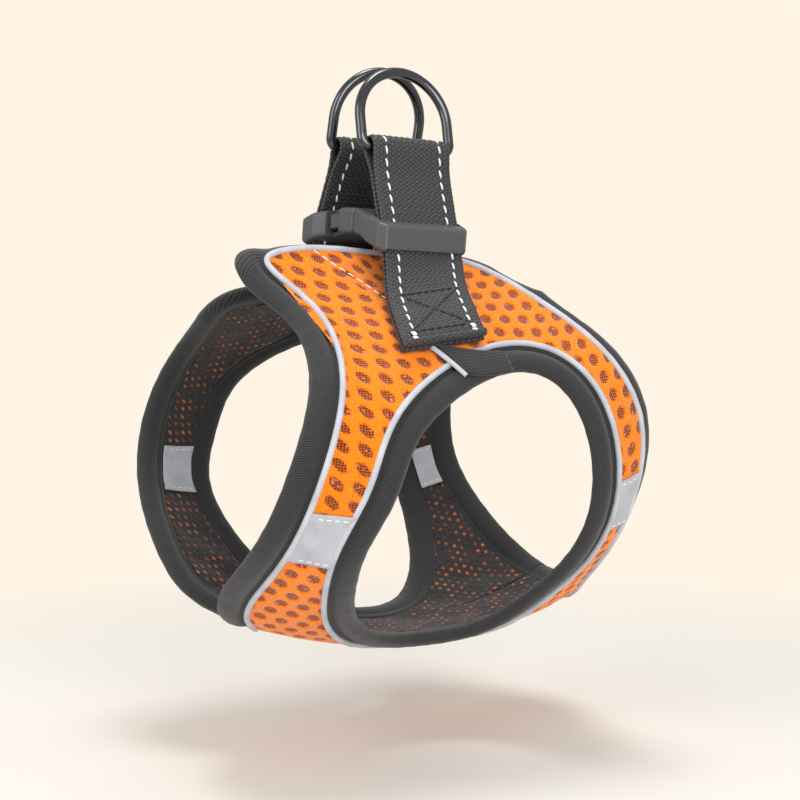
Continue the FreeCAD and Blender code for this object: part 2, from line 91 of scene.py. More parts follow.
HITCH_AT, HITCH_LEAN = np.array([0.0, -1.0, 50.0]), math.radians(-12.0)


# ------------------------------------------------------------------ curves and the skin
def spline(points, t):
    """Points at each t of the clamped uniform cubic spline with these control points."""
    points = np.asarray(points, float)
    t = np.clip(np.asarray(t, float), 0.0, 1.0)
    spans = len(points) - 3
    knots = np.concatenate([np.zeros(3), np.linspace(0, 1, spans + 1), np.ones(3)])
    k = np.minimum((t * spans).astype(int), spans - 1) + 3
    near = [points[k - 3 + i] for i in range(4)]
    for level in range(1, 4):
        for j in range(3, level - 1, -1):
            low = knots[k - 3 + j]
            share = ((t - low) / (knots[k + 1 + j - level] - low))[..., None]
            near[j] = (1 - share) * near[j - 1] + share * near[j]
    return near[3]


def loop(points, t):
    points = np.asarray(points, float)
    place = np.mod(t, 1.0) * len(points)
    k = place.astype(int)
    f = place - k
    weights = ((1 - f) ** 3, 3 * f ** 3 - 6 * f * f + 4,
               -3 * f ** 3 + 3 * f * f + 3 * f + 1, f ** 3)
    return sum(w[..., None] * points[(k - 1 + i) % len(points)] for i, w in enumerate(weights)) / 6


def ramp(value, start, end):
    share = np.clip((value - start) / (end - start), 0.0, 1.0)
    return share * share * (3 - 2 * share)


def unit(a):
    return a / np.linalg.norm(a, axis=-1, keepdims=True)


def curve_along(terms, y):
    s = y / SPAN
    return terms[0] + terms[1] * s + terms[2] * s * s


def skin(v, y):
    v, y = np.broadcast_arrays(np.asarray(v, float), np.asarray(y, float))
    profile = spline(PROFILE, v)
    tuck = TUCK * ramp(v, 0.83, 0.94) * ramp(y, -24.0, -11.0) * ramp(-y, -26.0, -13.0)
    low = curve_along(BELLY, y)
    x = curve_along(HALF_WIDTH, y) * (profile[..., 0] - tuck)
    return np.stack([x, y, low + (FLAP_TOP - low) * profile[..., 1]], -1)


def outward(v, y):
    v = np.clip(v, 0.002, 0.998)
    over = skin(v + 0.002, y) - skin(v - 0.002, y)
    along = skin(v, y + 0.1) - skin(v, y - 0.1)
    return unit(np.cross(along, over))


def search(measure, low, high, target):
    for _ in range(40):
        middle = (low + high) / 2
        if measure(middle) < target:
            low = middle
        else:
            high = middle
    return (low + high) / 2


def left_edge(t):
    return spline(LEFT_EDGE, np.asarray(t, float))


def right_edge(t):
    return spline(RIGHT_EDGE, np.asarray(t, float))


def leg(t):
    return loop(LEG, np.asarray(t, float))


def edge_x(t):
    return skin(*left_edge(t))[0]


def place_of(path, v, start, end):
    """Place between start and end where the seam line passes v."""
    sign = 1 if path(start)[0] < path(end)[0] else -1
    share = search(lambda f: sign * path(start + (end - start) * f)[0], 0.0, 1.0, sign * v)
    return start + (end - start) * share


V_TABLE = np.linspace(0.0, 1.0, 401)
GIRTH_Y = np.linspace(-85.0, 70.0, 63)
GIRTHS = np.stack([np.concatenate([[0.0], np.cumsum(np.linalg.norm(
    np.diff(skin(V_TABLE, y), axis=0), axis=1))]) for y in GIRTH_Y])


def cloth(v, y, grain):
    """Lengths over the cloth, across and along its rows of cells."""
    row = np.interp(y, GIRTH_Y, np.arange(len(GIRTH_Y)))
    low = np.clip(row.astype(int), 0, len(GIRTH_Y) - 2)
    column = np.clip(v, 0, 1) * (len(V_TABLE) - 1)
    left = np.clip(column.astype(int), 0, len(V_TABLE) - 2)
    f, g = row - low, column - left
    girth = ((1 - f) * ((1 - g) * GIRTHS[low, left] + g * GIRTHS[low, left + 1])
             + f * ((1 - g) * GIRTHS[low + 1, left] + g * GIRTHS[low + 1, left + 1]))
    long = y * 1.04
    turn = math.radians(grain)
    return (long * math.cos(turn) - girth * math.sin(turn),
            girth * math.cos(turn) + long * math.sin(turn))


def cell_distance(across, along, width, pitch):
    """Distance from the nearest centre of a grid of staggered cells."""
    best = None
    for shift in (0.0, 0.5):
        a = (np.mod(across / width + shift, 1.0) - 0.5) * width
        b = (np.mod(along / pitch + shift, 1.0) - 0.5) * pitch
        d = np.hypot(a, b)
        best = d if best is None else np.minimum(best, d)
    return best


def wobble(length, size, pitch, seed):
    """Smooth random wander along a length, repeatable."""
    source = np.random.default_rng(seed)
    total = sum(source.normal() * np.sin(2 * math.pi * length / (pitch * k)
                                         + source.uniform(0, 6.3))
                for k in (1.0, 1.7, 2.6, 0.63))
    return size * total / 2


# ------------------------------------------------------------------ meshes
def to_row(points):
    return (np.asarray(points, float) - ORIGIN) * MM


class Build:
    """Collects grids of points into one mesh. Each point has two cloth lengths with it."""

    def __init__(self):
        self.points, self.cloth, self.faces, self.count = [], [], [], 0

    def grid(self, points, cloth_lengths=None, wrap_rows=False, wrap_columns=False):
        rows, columns = points.shape[:2]
        index = np.arange(rows * columns).reshape(rows, columns) + self.count
        if wrap_rows:
            index = np.concatenate([index, index[:1]], 0)
        if wrap_columns:
            index = np.concatenate([index, index[:, :1]], 1)
        quads = np.stack([index[:-1, :-1], index[:-1, 1:], index[1:, 1:], index[1:, :-1]], -1)
        self.points.append(points.reshape(-1, 3))
        if cloth_lengths is None:
            cloth_lengths = np.zeros(points.shape[:2] + (2,))
        self.cloth.append(np.asarray(cloth_lengths).reshape(-1, 2))
        self.faces.append(quads.reshape(-1, 4))
        self.count += rows * columns
        return index

    def quads(self, faces):
        self.faces.append(np.asarray(faces).reshape(-1, 4))

    def slab(self, top, bottom, cloth_lengths, wrap_rows=False):
        """Closed sheet between two grids of the same size."""
        a = self.grid(top, cloth_lengths, wrap_rows)
        b = self.grid(bottom, cloth_lengths, wrap_rows)
        for i, j in ((a[:, 0], b[:, 0]), (a[:, -1], b[:, -1])):
            self.quads(np.stack([i[:-1], i[1:], j[1:], j[:-1]], -1))
        if not wrap_rows:
            for i, j in ((a[0], b[0]), (a[-1], b[-1])):
                self.quads(np.stack([i[:-1], i[1:], j[1:], j[:-1]], -1))

    def tube(self, rings, cloth_lengths=None, wrap_rows=False):
        """Closed skin over a row of closed sections, capped unless it joins up."""
        index = self.grid(rings, cloth_lengths, wrap_rows, wrap_columns=True)
        if not wrap_rows:
            for ring in (index[0, :-1], index[-1, :-1]):
                half = len(ring) // 2
                a, b = ring[:half], ring[::-1][:half]
                self.quads(np.stack([a[:-1], a[1:], b[1:], b[:-1]], -1))

    def done(self, name, material, mirror=False):
        points = np.concatenate(self.points)
        if mirror:
            points = points * [-1, 1, 1]
        faces = np.concatenate(self.faces)
        mesh = bpy.data.meshes.new(name)
        mesh.from_pydata(to_row(points).tolist(), [], faces.tolist())
        attribute = mesh.attributes.new("cloth", "FLOAT_VECTOR", "POINT")
        lengths = np.zeros((len(points), 3), np.float32)
        lengths[:, :2] = np.concatenate(self.cloth)
        attribute.data.foreach_set("vector", lengths.ravel())
        work = bmesh.new()
        work.from_mesh(mesh)
        bmesh.ops.recalc_face_normals(work, faces=work.faces)
        work.to_mesh(mesh)
        work.free()
        mesh.shade_smooth()
        mesh.materials.append(material)
        piece = bpy.data.objects.new(name, mesh)
        bpy.context.scene.collection.objects.link(piece)
        return piece


def bead(build, start, end, normal, width, high):
    """One stitch: a small pad of thread from start to end."""
    along = end - start
    length = np.linalg.norm(along)
    along = along / length
    side = unit(np.cross(normal, along))
    rings = []
    for share, size in ((0, 0.35), (0.12, 0.8), (0.5, 1.0), (0.88, 0.8), (1, 0.35)):
        angles = np.linspace(0, 2 * math.pi, 8, endpoint=False)
        lift = high * (0.2 + 0.8 * math.sin(math.pi * share))
        centre = start + along * length * share + normal * (lift - high * 0.5)
        rings.append(centre + np.outer(np.cos(angles), side) * width * size / 2
                     + np.outer(np.sin(angles), normal) * width * 0.4 * size)
    build.tube(np.array(rings))


def stitch(build, points, normals, dash, gap, width=0.5, high=0.2, slant=0.0):
    """A line of stitches along these points."""
    points, normals = np.asarray(points), np.asarray(normals)
    steps = np.concatenate([[0.0], np.cumsum(np.linalg.norm(np.diff(points, axis=0), axis=1))])
    place = gap / 2
    while place + dash < steps[-1]:
        ends = [np.array([np.interp(s, steps, points[:, k]) for k in range(3)])
                for s in (place, place + dash)]
        normal = unit(np.array([np.interp(place + dash / 2, steps, normals[:, k])
                                for k in range(3)]))
        side = unit(np.cross(normal, ends[1] - ends[0])) * slant
        bead(build, ends[0] - side, ends[1] + side, normal, width, high)
        place += dash + gap


# ------------------------------------------------------------------ materials
class Shader:
    """A material's node tree, with short ways to add nodes."""

    def __init__(self, name):
        self.material = bpy.data.materials.new(name)
        self.material.use_nodes = True
        self.tree = self.material.node_tree
        self.tree.nodes.clear()
        output = self.tree.nodes.new("ShaderNodeOutputMaterial")
        self.surface = self.tree.nodes.new("ShaderNodeBsdfPrincipled")
        self.tree.links.new(self.surface.outputs[0], output.inputs["Surface"])

    def put(self, socket, value):
        if isinstance(value, bpy.types.NodeSocket):
            self.tree.links.new(value, socket)
        elif isinstance(value, tuple) and len(value) == 3 and socket.type == "RGBA":
            socket.default_value = value + (1.0,)
        else:
            socket.default_value = value

    def add(self, kind, out=0, settings=(), **inputs):
        node = self.tree.nodes.new(kind)
        for key, value in dict(settings).items():
            setattr(node, key, value)
        for key, value in inputs.items():
            self.put(node.inputs[int(key[1:]) if key[1:].isdigit() else key.replace("_", " ")],
                     value)
        return node.outputs[out]

    def math(self, operation, a, b=0.0, c=0.0):
        return self.add("ShaderNodeMath", settings={"operation": operation}, i0=a, i1=b, i2=c)

    def step(self, value, start, end):
        node = self.tree.nodes.new("ShaderNodeMapRange")
        node.interpolation_type = "SMOOTHSTEP"
        for key, entry in (("Value", value), ("From Min", min(start, end)),
                           ("From Max", max(start, end)), ("To Min", float(start > end)),
                           ("To Max", float(end > start))):
            self.put(node.inputs[key], entry)
        return node.outputs[0]

    def mix(self, share, a, b):
        node = self.tree.nodes.new("ShaderNodeMix")
        node.data_type = "RGBA"
        for key, value in ((0, share), (6, a), (7, b)):
            self.put(node.inputs[key], value)
        return node.outputs[2]

    def cloth(self):
        lengths = self.add("ShaderNodeAttribute", 1, {"attribute_name": "cloth"})
        split = self.tree.nodes.new("ShaderNodeSeparateXYZ")
        self.tree.links.new(lengths, split.inputs[0])
        return lengths, split.outputs[0], split.outputs[1]

    def noise(self, vector, scale, detail=2.0):
        return self.add("ShaderNodeTexNoise", 0, {}, Vector=vector, Scale=scale, Detail=detail)

    def cells(self, across, along, width, pitch):
        best = None
        for shift in (0.0, 0.5):
            parts = []
            for value, size in ((across, width), (along, pitch)):
                place = self.math("FRACT", self.math("MULTIPLY_ADD", value, 1 / size, shift))
                part = self.math("MULTIPLY", self.math("SUBTRACT", place, 0.5), size)
                parts.append(self.math("MULTIPLY", part, part))
            d = self.math("SQRT", self.math("ADD", *parts))
            best = d if best is None else self.math("MINIMUM", best, d)
        return best

    def bump(self, height, strength, distance):
        return self.add("ShaderNodeBump", 0, {}, Height=height, Strength=strength,
                        Distance=distance)

    def finish(self, **inputs):
        for key, value in inputs.items():
            self.put(self.surface.inputs[key.replace("_", " ")], value)
        return self.material


CELL_WIDTH, CELL_PITCH = 10.6, 5.8


def orange_mesh():
    s = Shader("orange_spacer_mesh")
    lengths, across, along = s.cloth()
    d = s.cells(across, along, CELL_WIDTH, CELL_PITCH)
    fuzz = s.noise(lengths, 2.2, 4.0)
    ragged = s.math("MULTIPLY_ADD", fuzz, 1.0, s.math("SUBTRACT", d, 0.5))
    cell = s.step(ragged, 2.2, 1.3)
    hole = s.step(s.cells(across, along, 1.35, 0.8), 0.36, 0.2)
    open_hole = s.math("MULTIPLY", hole, s.step(ragged, 1.95, 1.35))
    ridge = s.mix(s.step(fuzz, 0.35, 0.7), (0.84, 0.17, 0.001), (1.0, 0.3, 0.006))
    # Cell floors are darker orange: partly the thinner knit over the dark lining, partly painted
    # shade in the dipped cells.
    floor_colour = s.mix(s.step(fuzz, 0.35, 0.7), (0.5, 0.075, 0.001), (0.74, 0.15, 0.003))
    colour = s.mix(cell, ridge, floor_colour)
    # Holes are painted near black: the black lining behind them in painted shade, with a few
    # painted glints.
    glint = s.step(s.noise(lengths, 0.9, 1.0), 0.62, 0.72)
    colour = s.mix(open_hole, colour, s.mix(glint, (0.035, 0.012, 0.006), (0.6, 0.5, 0.45)))
    knit = s.cells(across, along, 0.62, 0.5)
    height = s.math("SUBTRACT", s.math("MULTIPLY_ADD", fuzz, 0.6, s.math("MULTIPLY", knit, -0.8)),
                    open_hole)
    return s.finish(Base_Color=colour, Roughness=0.85, Sheen_Weight=0.3, Sheen_Roughness=0.5,
                    Specular_IOR_Level=0.2, Normal=s.bump(height, 0.55, 0.00035))


def black_mesh():
    s = Shader("black_mesh_lining")
    lengths, across, along = s.cloth()
    fuzz = s.noise(lengths, 2.0, 3.0)
    d = s.cells(across, along, 5.0, 2.9)
    ragged = s.math("ADD", d, s.math("MULTIPLY", s.math("SUBTRACT", fuzz, 0.5), 1.3))
    hole = s.step(ragged, 0.75, 0.4)
    bright = s.step(s.noise(lengths, 0.2, 2.0), 0.42, 0.62)
    lit = s.mix(bright, (0.03, 0.008, 0.003), (0.6, 0.13, 0.015))
    dark = s.mix(fuzz, (0.012, 0.012, 0.013), (0.045, 0.043, 0.044))
    knit = s.cells(across, along, 1.1, 0.75)
    height = s.math("SUBTRACT", s.math("MULTIPLY", knit, -1.0), s.math("MULTIPLY", hole, 1.5))
    return s.finish(Base_Color=s.mix(hole, dark, lit), Roughness=0.8, Sheen_Weight=0.2,
                    Specular_IOR_Level=0.25, Normal=s.bump(height, 0.6, 0.0004))


def knit_binding():
    s = Shader("charcoal_knit")
    lengths, across, along = s.cloth()
    fuzz = s.noise(lengths, 3.0, 3.0)
    slant = s.math("ADD", s.math("MULTIPLY", along, 1 / 0.62), s.math("MULTIPLY", across, 0.55))
    wave = s.math("ABSOLUTE", s.math("SUBTRACT", s.math("FRACT", slant), 0.5))
    rows = s.math("ABSOLUTE", s.math("SUBTRACT", s.math("FRACT", s.math(
        "MULTIPLY", across, 1 / 0.7)), 0.5))
    height = s.math("ADD", s.math("MULTIPLY", wave, 1.4), s.math("MULTIPLY", rows, 0.9))
    # Colour follows random fuzz and the knit's height: ridges lighter, grooves darker as painted
    # shade.
    shade = s.math("MULTIPLY_ADD", fuzz, 0.5, s.math("MULTIPLY", height, 0.7))
    colour = s.mix(s.step(shade, 0.35, 1.1), (0.016, 0.016, 0.0172), (0.058, 0.058, 0.061))
    return s.finish(Base_Color=colour, Roughness=0.82, Sheen_Weight=0.25, Sheen_Roughness=0.45,
                    Specular_IOR_Level=0.25, Normal=s.bump(height, 0.55, 0.00025))


def pale_tape(name, colour, rough):
    s = Shader(name)
    lengths, _, _ = s.cloth()
    fuzz = s.noise(lengths, 2.5, 4.0)
    wide = s.noise(lengths, 0.12, 2.0)
    dim = tuple(c * 0.78 for c in colour)
    return s.finish(Base_Color=s.mix(s.step(s.math("ADD", fuzz, wide), 0.75, 1.25), dim, colour),
                    Roughness=rough, Specular_IOR_Level=0.4, Metallic=0.0,
                    Normal=s.bump(fuzz, 0.25, 0.0002))


def webbing():
    s = Shader("charcoal_webbing")
    lengths, across, along = s.cloth()
    fuzz = s.noise(lengths, 4.0, 3.0)
    cross = s.cells(across, along, 1.9, 1.25)
    # Thread crossings are painted lighter than the black webbing: painted highlights on the raised
    # crossings.
    colour = s.mix(s.step(s.math("ADD", cross, s.math("MULTIPLY", fuzz, 0.5)), 0.9, 0.35),
                   (0.008, 0.008, 0.009), (0.06, 0.06, 0.063))
    return s.finish(Base_Color=colour, Roughness=0.5, Specular_IOR_Level=0.45,
                    Sheen_Weight=0.1, Normal=s.bump(fuzz, 0.5, 0.0003))


def thread():
    return Shader("pale_thread").finish(Base_Color=(0.82, 0.82, 0.85), Roughness=0.55,
                                        Sheen_Weight=0.2)


def dark_thread():
    return Shader("dark_thread").finish(Base_Color=(0.03, 0.03, 0.032), Roughness=0.6)


def plastic():
    s = Shader("dark_satin_plastic")
    place = s.add("ShaderNodeTexCoord", 3)
    fine = s.noise(place, 1800.0, 2.0)
    wide = s.noise(place, 60.0, 2.0)
    rough = s.math("MULTIPLY_ADD", wide, 0.12, 0.36)
    return s.finish(Base_Color=(0.068, 0.07, 0.07), Roughness=rough, Specular_IOR_Level=0.55,
                    Normal=s.bump(fine, 0.12, 0.0002))


def gunmetal():
    s = Shader("gunmetal_plating")
    place = s.add("ShaderNodeTexCoord", 3)
    wide = s.noise(place, 120.0, 3.0)
    return s.finish(Base_Color=(0.09, 0.093, 0.1), Metallic=1.0,
                    Roughness=s.math("MULTIPLY_ADD", wide, 0.14, 0.14), Coat_Weight=0.3,
                    Coat_Roughness=0.1)


MATERIAL = {
    "orange_mesh": orange_mesh(), "black_lining": black_mesh(),
    "charcoal_binding": knit_binding(), "charcoal_webbing": webbing(),
    "grey_piping": pale_tape("grey_piping", (0.56, 0.57, 0.63), 0.5),
    "reflective_tape": pale_tape("reflective_tape", (0.5, 0.51, 0.56), 0.42),
    "pale_thread": thread(), "dark_thread": dark_thread(),
    "buckle_plastic": plastic(), "gunmetal": gunmetal(),
}


# ------------------------------------------------------------------ fabric panels
EDGE_FRONT = search(edge_x, 0.0, 0.1, CHEST_HALF)
EDGE_REAR = search(lambda t: -edge_x(t), 0.9, 1.0, -CHEST_HALF)


EDGES = {1: left_edge, -1: right_edge}


def seam_place(edge):
    return search(lambda t: edge(t)[1], 0.4, 0.6, SEAM_Y)


def fold_v(y):
    return np.array([search(lambda v: skin(v, one)[0], 0.0, 0.3, CHEST_HALF) for one in y])


def fold_path(start, end, count):
    y = np.linspace(start, end, count)
    return np.stack([fold_v(y), y], -1)


def panel_lengths(edge):
    """(v, y) of the leg's and the outer seam, in four lengths round the leg hole."""
    turns = LEG_TURNS
    seam = seam_place(edge)
    middle = leg(turns["bottom"])[1]
    front_y, rear_y = edge(EDGE_FRONT)[1], edge(EDGE_REAR)[1]
    legs = [(turns["bottom"], turns["front"], 90), (turns["front"], turns["top"], 250),
            (turns["top"], turns["rear"], 290), (turns["rear"], turns["bottom"] - 1, 90)]
    outers = [fold_path(middle, front_y, 90), edge(np.linspace(EDGE_FRONT, seam, 250)),
              edge(np.linspace(seam, EDGE_REAR, 290)), fold_path(rear_y, middle, 90)]
    return [(leg(np.linspace(*span)), outer) for span, outer in zip(legs, outers)]


def across_panel(inner, outer, columns):
    share = np.linspace(0, 1, columns)[None, :, None]
    both = inner[:, None, :] * (1 - share) + outer[:, None, :] * share
    return both[..., 0], both[..., 1]


def lay(v, y, rise):
    return skin(v, y) + outward(v, y) * np.asarray(rise)[..., None]


def puckers(v, y):
    return 0.14 * np.sin(v * 61 + y * 0.21) + 0.1 * np.sin(v * 37 - y * 0.34 + 1.0)


def mesh_sheet(v, y, grain, name, mirror):
    """The orange mesh over one area."""
    across, along = cloth(v, y, grain)
    lengths = np.stack([across, along], -1)
    d = cell_distance(across, along, CELL_WIDTH, CELL_PITCH)
    bulge = puckers(v, y)
    top = lay(v, y, MESH_OUT - 0.1 + bulge * 0.5 - 0.5 * ramp(-d, -2.3, -1.3))
    mesh = Build()
    mesh.slab(top, lay(v, y, np.full(v.shape, MESH_IN)), lengths)
    return mesh.done(name, MATERIAL["orange_mesh"], mirror)


def joined(parts):
    return tuple(np.concatenate([a, b[1:]], 0) for a, b in zip(*parts))


FRONT_GRAIN, BACK_GRAIN = 16.0, -12.0


def chest_area():
    """(v, y, sign of x) over the chest strip."""
    share = np.linspace(-1, 1, 26)
    edge = left_edge
    fold = fold_v(np.linspace(edge(EDGE_FRONT)[1], edge(EDGE_REAR)[1], 190))
    v = fold[:, None] * np.abs(share)[None, :]
    front = edge(np.interp(v[0], [0, fold[0]], [0, EDGE_FRONT]))[:, 1]
    rear = edge(1 - np.interp(v[-1], [0, fold[-1]], [0, 1 - EDGE_REAR]))[:, 1]
    along = np.linspace(0, 1, 190)[:, None]
    y = front[None, :] * (1 - along) + rear[None, :] * along
    return v, y, np.sign(share)[None, :, None]


def signed(points, sign):
    return points * np.concatenate([sign, np.ones_like(sign), np.ones_like(sign)], -1)


def follow(piece):
    """Bakes a side piece's placement into its mesh."""
    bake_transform(piece)


def fabric(side):
    """Mesh panels and lining of one side."""
    name = "left" if side > 0 else "right"
    mirror = side < 0
    areas = [across_panel(*pair, 64) for pair in panel_lengths(EDGES[side])]
    front, back = joined(areas[:2]), joined(areas[2:])
    for area, grain, part in ((front, FRONT_GRAIN, "front"), (back, BACK_GRAIN, "back")):
        piece = mesh_sheet(*area, grain, "%s_%s_mesh" % (name, part), mirror)
        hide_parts("%s_%s_mesh_panel" % (name, part))
        follow(piece)
    v, y = (np.concatenate([a, b[1:-1]], 0) for a, b in zip(front, back))
    v, y = v[:, ::2], y[:, ::2]
    lengths = np.stack(cloth(v, y, 8.0), -1)
    bulge = puckers(v, y) * 1.5
    lining = Build()
    lining.slab(lay(v, y, np.full(v.shape, MESH_IN - 0.02)), lay(v, y, LINING_IN + 0.15 + bulge),
                lengths, wrap_rows=True)
    piece = lining.done(name + "_mesh_lining", MATERIAL["black_lining"], mirror)
    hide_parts(name + "_lining")
    follow(piece)


def chest():
    """Mesh and lining of the chest strip."""
    v, y, sign = chest_area()
    lengths = np.stack(cloth(v, y, 0.0), -1)
    lengths[..., 1] *= sign[..., 0]
    d = cell_distance(lengths[..., 0], lengths[..., 1], CELL_WIDTH, CELL_PITCH)
    top = lay(v, y, MESH_OUT - 0.1 + puckers(v, y) * 0.5 - 0.5 * ramp(-d, -2.3, -1.3))
    mesh = Build()
    mesh.slab(signed(top, sign), signed(lay(v, y, np.full(v.shape, MESH_IN)), sign), lengths)
    piece = mesh.done("chest_mesh", MATERIAL["orange_mesh"])
    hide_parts("chest_mesh_panel")
    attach(piece, "chest")
    lining = Build()
    lining.slab(signed(lay(v, y, np.full(v.shape, MESH_IN - 0.02)), sign),
                signed(lay(v, y, LINING_IN + 0.15 + puckers(v, y) * 1.5), sign), lengths)
    piece = lining.done("chest_mesh_lining", MATERIAL["black_lining"])
    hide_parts("chest_lining")
    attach(piece, "chest")


# ------------------------------------------------------------------ bound edges
BINDING_SECTION = [(0.5, 1.5), (1.0, 1.15), (1.7, 0.85), (2.2, 1.15), (2.9, 1.75), (3.9, 2.15),
                   (5.2, 2.3), (6.6, 2.05), (7.7, 1.45), (8.4, 0.6), (8.5, -0.3), (8.0, -1.2),
                   (6.9, -1.9), (5.3, -2.2), (3.7, -2.1), (2.6, -1.75), (1.9, -1.4), (1.2, -1.65),
                   (0.4, -1.5), (-0.3, -0.9), (-0.3, 0.6)]
PIPING_SECTION = [(0.86 * math.cos(a), 1.85 + 0.86 * math.sin(a))
                  for a in np.linspace(0, 2 * math.pi, 14, endpoint=False)]


class Seam:
    """Stations along a seam line: points, normals and the direction away from the panel."""

    def __init__(self, path, t, sign=None):
        v, y = path(t).T
        self.v, self.y = v, y
        self.point, self.normal = skin(v, y), outward(v, y)
        ahead, behind = path(t + 0.002).T, path(t - 0.002).T
        along = skin(*ahead) - skin(*behind)
        self.away = unit(np.cross(self.normal, along))
        if sign is not None:
            flip = np.stack([sign, np.ones_like(sign), np.ones_like(sign)], -1)
            self.point, self.normal, self.away = (a * flip for a in
                                                  (self.point, self.normal, self.away))
        steps = np.linalg.norm(np.diff(self.point, axis=0), axis=1)
        self.length = np.concatenate([[0.0], np.cumsum(steps)])

    def section(self, outline, curl, seed, loose):
        """Sections of this outline at every station, slightly uneven, and their lengths."""
        away, rise = np.array(outline).T
        away, rise = away[None, :], rise[None, :]
        swell = wobble(self.length, loose, WANDER_PITCH, seed)[:, None]
        away = away + swell * (away > 3)
        rise = rise * (1 + swell * 0.35)
        start = np.minimum(away, PIPING_HALF)
        turn = np.zeros_like(self.v) if curl is None else np.radians(curl)
        turn = turn[:, None] * ramp(away, 0.5, 3.0)
        cos, sin = np.cos(turn)[..., None], np.sin(turn)[..., None]
        reach = self.away[:, None] * cos - self.normal[:, None] * sin
        lift = self.normal[:, None] * cos + self.away[:, None] * sin
        points = (self.point[:, None] + self.away[:, None] * start[..., None]
                  + reach * (away - start)[..., None] + lift * rise[..., None])
        steps = np.hypot(np.diff(np.array(outline)[:, 0]), np.diff(np.array(outline)[:, 1]))
        round_it = np.concatenate([[0.0], np.cumsum(steps)])
        lengths = np.stack(np.broadcast_arrays(round_it[None, :], self.length[:, None]), -1)
        return points, lengths


def rear_curl(v, y):
    """Degrees that the rear binding turns in, as in the CAD."""
    flank = REAR_CURL * ramp(v, 0.0, 0.2)
    top = TOP_CURL * ramp(v, 0.8, 0.9) * ramp(y, SEAM_Y, -12.0)
    return np.maximum(top, flank * ramp(-v, -0.93, -0.8))


def bound(seam, name, outline, slot, mirror, curl=None, seed=1, closed=False, loose=0.03):
    points, lengths = seam.section(outline, curl, seed, loose)
    build = Build()
    if closed:
        points, lengths = points[:-1], lengths[:-1]
    build.tube(points, lengths, wrap_rows=closed)
    return build.done(name, MATERIAL[slot], mirror)


def edges(side):
    """Bindings and pipings of one side; the left flap's top binding lies right behind it."""
    name = "left" if side > 0 else "right"
    mirror = side < 0
    edge = EDGES[side]
    along_neck = np.linspace(EDGE_FRONT, seam_place(edge), 320)
    neck = Seam(edge, along_neck)
    rear = Seam(edge, np.linspace(seam_place(edge), EDGE_REAR, 320))
    hole = Seam(leg, np.linspace(0.8, -0.2, 380))
    curl, neck_curl = rear_curl(rear.v, rear.y), None
    if side > 0:
        neck_curl = BACK_CURL * ramp(along_neck, 0.395, 0.45)
        curl = np.maximum(curl, BACK_CURL * ramp(-rear.y, -9.0, 12.0))
    for seam, part, bend, closed in ((neck, "neck", neck_curl, False), (rear, "rear", curl, False),
                                     (hole, "leg", None, True)):
        for outline, kind, slot, loose in ((BINDING_SECTION, "binding", "charcoal_binding", 0.03),
                                           (PIPING_SECTION, "piping", "grey_piping", 0.03)):
            piece = bound(seam, "%s_%s_%s_cloth" % (name, part, kind), outline, slot, mirror,
                          bend, 3, closed, loose)
            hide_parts("%s_%s_%s" % (name, part, kind))
            follow(piece)


def chest_edges():
    for part, limit in (("neck", EDGE_FRONT), ("rear", 1 - EDGE_REAR)):
        t = np.linspace(-limit, limit, 31)
        path = left_edge if part == "neck" else (lambda u: left_edge(1 - u))
        seam = Seam(path, np.abs(t) + 1e-9, np.sign(t) + (t == 0))
        seam.away *= np.sign(seam.away[:, 1:2] * (-1 if part == "neck" else 1))
        for outline, kind, slot in ((BINDING_SECTION, "binding", "charcoal_binding"),
                                    (PIPING_SECTION, "piping", "grey_piping")):
            piece = bound(seam, "chest_%s_%s_cloth" % (part, kind), outline, slot, False, loose=0.0)
            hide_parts("chest_%s_%s" % (part, kind))
            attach(piece, "chest")


def patches(side):
    """Reflective tape outside and inside, each with two rows of stitches."""
    name = "left" if side > 0 else "right"
    edge = EDGES[side]
    rear_patch = LEFT_REAR_PATCH if side > 0 else RIGHT_REAR_PATCH
    for part, heights, turns, shares in (("front", FRONT_PATCH, (0.62, 0.3), (0.1, 0.35)),
                                         ("rear", rear_patch[::-1], (-0.05, 0.12), (0.97, 0.68))):
        heights = np.linspace(*heights, 40)
        inner = leg([place_of(leg, v, *turns) for v in heights])
        outer = edge([place_of(edge, v, *shares) for v in heights])
        v, y = across_panel(inner, outer, 30)
        for where, low, high in (("outer", MESH_OUT + 0.1, MESH_OUT + 0.55),
                                 ("inner", LINING_IN - 0.45, LINING_IN - 0.8)):
            share = np.linspace(0, 1, 40)[:, None]
            soft = 0.12 * np.sin(v * 90 + y * 0.6) + 0.16 * np.cos(share * 2 * math.pi) - 0.1
            top = lay(v, y, high + soft * (1 if where == "outer" else -1))
            build = Build()
            build.slab(top, lay(v, y, np.full(v.shape, low)), np.stack(cloth(v, y, 0.0), -1))
            node = "%s_%s_%s_patch" % (name, part, where)
            piece = build.done(node + "_tape", MATERIAL["reflective_tape"],
                               side < 0)
            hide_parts(node)
            follow(piece)
            rows = Build()
            out = 1 if where == "outer" else -1
            for row in (3, 36):
                stitch(rows, top[row, 2:-2], outward(v, y)[row, 2:-2] * out, 1.5, 0.7, 0.36, 0.16)
            piece = rows.done(node + "_stitches", MATERIAL["pale_thread"],
                              side < 0)
            follow(piece)


# ------------------------------------------------------------------ straps
def in_hitch(points):
    points = np.asarray(points, float)
    c, s = math.cos(HITCH_LEAN), math.sin(HITCH_LEAN)
    x, y, z = points[..., 0], points[..., 1], points[..., 2]
    return np.stack([x, y * c - z * s, y * s + z * c], -1) + HITCH_AT


def arch_drop(x):
    return BUCKLE_ARCH - math.sqrt(BUCKLE_ARCH ** 2 - x * x)


